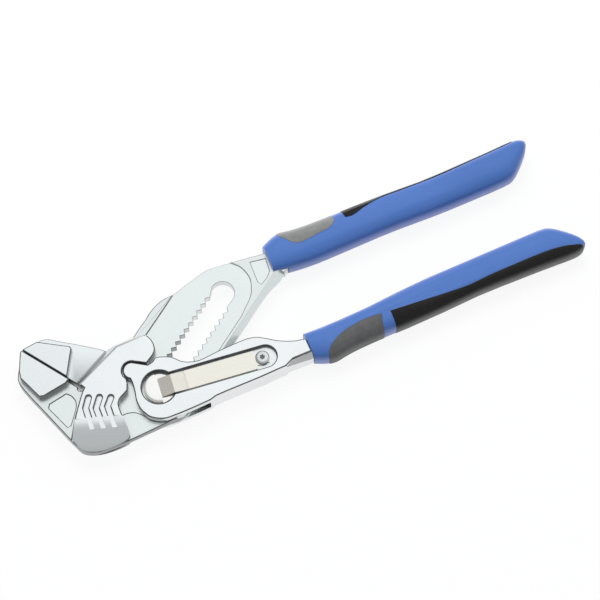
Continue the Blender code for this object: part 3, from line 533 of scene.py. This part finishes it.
def studio():
    """Light the tool from above, with a bright box behind it and darker walls.

    Steel mirrors the box, the side light and the walls. All else gets a plain light
    that is stronger from behind the tool.
    """
    world = bpy.data.worlds.new("studio")
    bpy.context.scene.world = world
    world.use_nodes = True
    g = Graph(world.node_tree)
    way = g.coordinates("Generated")
    walls = g.band(g.part(way, "Z"), low=0.05, high=0.55, first=0.20, last=0.50)
    box = g.band(g.dot(way, BOX_WAY), low=0.83, high=0.93, last=0.55)
    side = g.band(g.dot(way, SIDE_WAY), low=0.82, high=0.96, last=0.4)
    plain = g.part(way, "Y") * PLAIN_SLANT + PLAIN_LIGHT
    seen, mirrored = g.ray("Camera"), g.ray("Glossy")
    light = (1 - mirrored) * plain + mirrored * (walls + box + side)
    g.feed_named(
        world.node_tree.nodes["Background"],
        Color=g.mix(seen, SKY, WHITE),
        Strength=(1 - seen) * light + seen,
    )


def overhead_lamp():
    """Hang a soft lamp that points at the tool and doesn't show in its steel."""
    data = bpy.data.lights.new("overhead_box", "AREA")
    data.shape = "RECTANGLE"
    data.size, data.size_y = LAMP_SIZE
    data.energy = LAMP_POWER
    lamp = bpy.data.objects.new("overhead_box", data)
    lamp.location = LAMP_PLACE
    lamp.rotation_euler = (-LAMP_PLACE).to_track_quat("-Z", "Y").to_euler()
    lamp.visible_glossy = False
    bpy.context.scene.collection.objects.link(lamp)


def white_floor():
    """Matt white that shows as plain white, and keeps a faint shadow of the tool."""
    made = bpy.data.materials.new("white_floor")
    made.use_nodes = True
    tree = made.node_tree
    tree.nodes.remove(tree.nodes["Principled BSDF"])
    g = Graph(tree)
    matt = g.add("ShaderNodeBsdfDiffuse", {}, FLOOR_COLOUR)
    glow = g.add("ShaderNodeEmission", {}, WHITE, FLOOR_GLOW)
    seen = g.ray("Camera") * FLOOR_SEEN
    mirrored = g.ray("Glossy") * FLOOR_MIRRORED
    through = g.ray("Transmission") * FLOOR_MIRRORED
    surface = g.add("ShaderNodeMixShader", {}, seen + mirrored + through, matt, glow)
    g.feed_named(tree.nodes["Material Output"], Surface=surface)
    return made


def floor():
    """Lay a white floor under the tool."""
    bm = bmesh.new()
    bmesh.ops.create_grid(bm, x_segments=1, y_segments=1, size=FLOOR_HALF)
    bmesh.ops.translate(bm, verts=bm.verts, vec=(0, 0, -FLOOR_DROP))
    piece("floor", bm, white_floor())


def piece(name, bm, *finishes):
    """Turn a bmesh into an object at the origin, with its finishes."""
    mesh = bpy.data.meshes.new(name)
    for finish in finishes:
        mesh.materials.append(finish)
    bm.to_mesh(mesh)
    bm.free()
    made = bpy.data.objects.new(name, mesh)
    bpy.context.scene.collection.objects.link(made)
    return made


def bake_modifiers(made):
    """Apply a piece's modifiers."""
    graph = bpy.context.evaluated_depsgraph_get()
    mesh = bpy.data.meshes.new_from_object(made.evaluated_get(graph))
    made.modifiers.clear()
    made.data = mesh


def joined_copy(node):
    """Copy a node of the frame and join its loose triangles into faces."""
    bm = bmesh.new()
    bm.from_mesh(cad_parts[node].data)
    bmesh.ops.remove_doubles(bm, verts=bm.verts, dist=JOIN_REACH)
    bmesh.ops.dissolve_limit(
        bm, angle_limit=FLAT_ANGLE, verts=bm.verts, edges=bm.edges,
        use_dissolve_boundaries=False,
    )
    for face in bm.faces:
        face.material_index = FACES
    return bm


def on_level(vertex, level):
    """Tell whether a vertex lies on one level, on the front or the back."""
    return abs(abs(vertex.co.z - MIDDLE) - level) < LEVEL_SLACK


def lowest(face):
    """Give the height of a face's lowest vertex."""
    return min(vertex.co.z for vertex in face.verts)


def looks_inward(face, reach):
    """Tell whether a face looks back along its reach from an axis."""
    return reach.xy.dot(face.normal.xy) < 0


def is_outer(edge, corner):
    """Tell whether an edge is an outer corner of the solid, sharper than an angle."""
    if len(edge.link_faces) != 2:
        return False
    return edge.calc_face_angle_signed(0) > math.radians(corner)


def edges_on_level(bm, level):
    """Find the outer edges that run along one level, on the front and the back."""
    return [
        edge for edge in bm.edges
        if is_outer(edge, FORGED_CORNER)
        and all(on_level(vertex, level) for vertex in edge.verts)
    ]


def edges_at_turn(bm, least, most):
    """Find the edges whose faces turn by an angle between two values."""
    low, high = math.radians(least), math.radians(most)
    return [
        edge for edge in bm.edges
        if len(edge.link_faces) == 2 and low < edge.calc_face_angle(0) < high
    ]


def bevel(bm, edges, width, segments, clamp=False):
    """Round edges by a width, and give the new faces."""
    return bmesh.ops.bevel(
        bm, geom=edges, offset=width, offset_type="OFFSET", segments=segments,
        profile=0.5, affect="EDGES", clamp_overlap=clamp, material=-1,
    )["faces"]


def soften_slopes(bm):
    """Round the level edges at both ends of the cheeks' slopes."""
    edges = [
        edge for edge in edges_at_turn(bm, *SLOPE_TURNS)
        if abs(edge.verts[0].co.z - edge.verts[1].co.z) < LEVEL_SLACK
        and edge.calc_length() > SLOPE_ROUNDING * 2
    ]
    bevel(bm, edges, SLOPE_ROUNDING, segments=5)


def toe_crease(bm):
    """Find a point on the toe's crease, and the way from it down the toe."""
    crease = next(
        edge for edge in edges_at_turn(bm, *CREASE_TURNS)
        if all(on_level(vertex, HEAD_LEVEL) for vertex in edge.verts)
    )
    place = crease.verts[0].co.copy()
    run = crease.verts[1].co - place
    across = run.cross(Vector((0, 0, 1))).normalized()
    return place, -across if across.y > 0 else across


def bend_toe(bm):
    """Turn the flat slope of the toe into one that bends down from its crease."""
    place, across = toe_crease(bm)
    for step in range(1, TOE_STEPS + 1):
        bmesh.ops.bisect_plane(
            bm, geom=[*bm.verts, *bm.edges, *bm.faces], dist=CUT_REACH,
            plane_co=place + across * TOE_BEND * step / TOE_STEPS, plane_no=across,
        )
    steepest = TOE_FALL * TOE_REACH / (TOE_REACH - TOE_BEND / 2)
    for vertex in bm.verts:
        distance = (vertex.co - place).dot(across)
        if distance <= 0 or not on_level(vertex, HEAD_LEVEL - TOE_FALL * distance):
            continue
        bent = min(distance, TOE_BEND)
        fall = steepest * (bent * bent / TOE_BEND / 2 + distance - bent)
        level = math.copysign(HEAD_LEVEL - fall, vertex.co.z - MIDDLE)
        vertex.co.z = MIDDLE + level


def shape_jaw(bm):
    """Soften the sliding jaw's slopes and bend its toe."""
    soften_slopes(bm)
    bend_toe(bm)


def cone_cap(bm):
    """Turn a shallow cone round the raised half of the spring's cap.

    The raised face is inset all round. The ring outside it falls, and the side along
    the cap's diameter goes back to where it was.
    """
    top = max(vertex.co.z for vertex in bm.verts) - LEVEL_SLACK
    raised = [face for face in bm.faces if lowest(face) > top]
    bmesh.ops.inset_region(
        bm, faces=raised, thickness=CONE_WIDTH, use_even_offset=True, use_boundary=True
    )
    for vertex in bm.verts:
        if vertex.co.z <= top:
            continue
        reach = vertex.co - HINGE
        along = reach.dot(SPRING_WAY)
        if reach.xy.length > CAP_EDGE:
            vertex.co.z -= CONE_FALL
        elif along > -CONE_WIDTH - LEVEL_SLACK:
            vertex.co -= SPRING_WAY * along


def darken_pockets(bm):
    """Give the walls of the round recess and the channel the pockets' painted shade."""
    for face in bm.faces:
        if abs(face.normal.z) > WALL_RISE or lowest(face) < MIDDLE + RAISED_LEVEL:
            continue
        reach = face.calc_center_median() - HINGE
        reach -= SPRING_WAY * min(max(reach.dot(SPRING_WAY), 0), SCREW_DISTANCE)
        if looks_inward(face, reach) and reach.xy.length < RECESS_REACH:
            face.material_index = POCKETS


def darken_socket(bm):
    """Give the screw's socket the pockets' painted shade, its floor and the rim the
    edges'.
    """
    top = max(vertex.co.z for vertex in bm.verts) - LEVEL_SLACK
    axis = HINGE + SPRING_WAY * SCREW_DISTANCE
    for face in bm.faces:
        reach = face.calc_center_median() - axis
        if abs(face.normal.z) < WALL_RISE:
            face.material_index = POCKETS if looks_inward(face, reach) else EDGES
        elif reach.xy.length < SOCKET_REACH and face.verts[0].co.z < top:
            face.material_index = EDGES


def mark_crisp(bm, crisp):
    """Shade all faces smooth, and keep the crisp edges between them."""
    for face in bm.faces:
        face.smooth = True
    for edge in bm.edges:
        rounded = any(face.material_index for face in edge.link_faces)
        limit = math.radians(CRISP_ROUNDED if rounded else crisp)
        edge.smooth = edge.calc_face_angle(math.pi) < limit


def weigh_normals(made):
    """Let the large faces keep their flat shading beside rounded edges."""
    weigh = made.modifiers.new("weigh", "WEIGHTED_NORMAL")
    weigh.mode = "FACE_AREA"
    weigh.weight = 50
    weigh.keep_sharp = True
    bake_modifiers(made)


def stand_proud(made):
    """Let an insert stand a little proud of its shell."""
    swell = made.modifiers.new("swell", "DISPLACE")
    swell.strength = INSERT_PROUD
    swell.mid_level = 0.0
    swell.direction = "NORMAL"
    bake_modifiers(made)


def settle(made, body, node):
    """Ride a piece on its body, if it keeps to one, in its node's place."""
    if body:
        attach(made, body)
    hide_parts(node)


def forged_piece(node, body, levels, finishes, prepare=None, crisp=CRISP_FORGED):
    """Replace a forged or turned node by a copy with rounded outer edges.

    The levels are those of the edges, with the widths of their rounding. The finishes
    are those of its faces, its rounded edges and its pockets' walls.
    """
    bm = joined_copy(node)
    if prepare:
        prepare(bm)
    for level, width in levels:
        for face in bevel(bm, edges_on_level(bm, level), width, segments=3):
            face.material_index = EDGES
    mark_crisp(bm, crisp)
    made = piece(f"look_{node}", bm, *finishes)
    weigh_normals(made)
    settle(made, body, node)
    return made


def moulded_shell(node, body, finish):
    """Replace a grip's hard shell by a smooth copy."""
    bm = joined_copy(node)
    mark_crisp(bm, CRISP_MOULDED)
    settle(piece(f"look_{node}", bm, finish), body, node)


def soft_insert(node, body, finish):
    """Replace a grip's insert by a smooth copy with rounded rims, a little proud."""
    bm = joined_copy(node)
    rims = [edge for edge in bm.edges if is_outer(edge, INSERT_CORNER)]
    bevel(bm, rims, INSERT_PROUD, segments=2, clamp=True)
    mark_crisp(bm, CRISP_MOULDED)
    made = piece(f"look_{node}", bm, finish)
    stand_proud(made)
    settle(made, body, node)


bpy.context.scene.view_settings.view_transform = "Standard"
photo_camera()
studio()
overhead_lamp()
floor()

jaw_chrome = satin_chrome("jaw_chrome_look", JAW_WALL_SHADE, PLATE_WALL_SHADE)
lever_chrome = satin_chrome("lever_chrome_look", LEVER_WALL_SHADE, LEVER_WALL_SHADE)
edge_steel = painted_edge_shade("lever_edge_shade_look", DEEP_EDGE_SHADE)
plate_edge = painted_edge_shade("plate_edge_shade_look", PALE_EDGE_SHADE)
dark_wall = shaded_wall()
nickel = turned_steel("bright_nickel_look", NICKEL, rough=0.20)
screw_steel = turned_steel("screw_steel_look", SCREW, rough=0.26)
jaw_finishes = (jaw_chrome, plate_edge)
lever_finishes = (lever_chrome, edge_steel, dark_wall)

forged_piece(
    "fixed_jaw_handle", "fixed_side",
    (
        (PAD_LEVEL, FORGED_ROUND), (RAISED_LEVEL, PLATE_ROUND),
        (FIELD_LEVEL, FIELD_ROUND), (RELIEF_LEVEL, PLATE_ROUND),
    ),
    jaw_finishes,
)
forged_piece(
    "sliding_jaw", "jaw",
    (
        (PAD_LEVEL, FORGED_ROUND), (HEAD_LEVEL, FORGED_ROUND),
        (BASE_LEVEL, BASE_ROUND),
    ),
    jaw_finishes, shape_jaw, CRISP_JAW,
)
forged_piece(
    "lever_handle", "lever_side",
    ((HEAD_LEVEL, FORGED_ROUND), (RAISED_LEVEL, FINE_ROUND)),
    lever_finishes, darken_pockets,
)
forged_piece(
    "hinge_sleeve", "hinge",
    ((SLEEVE_LEVEL, FINE_ROUND), (HEAD_LEVEL, FINE_ROUND)),
    lever_finishes,
)
forged_piece(
    "locking_bolt", "bolt", ((HEAD_LEVEL, BASE_ROUND),), (nickel, nickel),
)
forged_piece("spring_cap", "cap", (), (nickel,), cone_cap)
forged_piece(
    "leaf_spring_screw", "lever_side", (), (screw_steel, edge_steel, dark_wall),
    darken_socket,
)

# The leaf keeps to the lever up to its kink and bends from there to the cap; here it
# is only left on no body, in the tool's frame
leaf = forged_piece("leaf_spring", None, (), (brushed_spring(),))
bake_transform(leaf)

blue = moulded_blue()
black = soft_rubber("black_rubber_look", BLACK, BLACK_SHEEN, rough=0.46, shine=0.28)
upper_grey = soft_rubber(
    "upper_grey_look", UPPER_GREY, UPPER_GREY_SHEEN, rough=0.6, shine=0.3
)
lower_grey = soft_rubber(
    "lower_grey_look", LOWER_GREY, LOWER_GREY_SHEEN, rough=0.6, shine=0.3
)
for grip, body, grey in (
    ("upper_grip", "fixed_side", upper_grey), ("lower_grip", "lever_side", lower_grey)
):
    moulded_shell(f"{grip}_shell", body, blue)
    soft_insert(f"{grip}_grey_insert", body, grey)
    soft_insert(f"{grip}_black_insert", body, black)
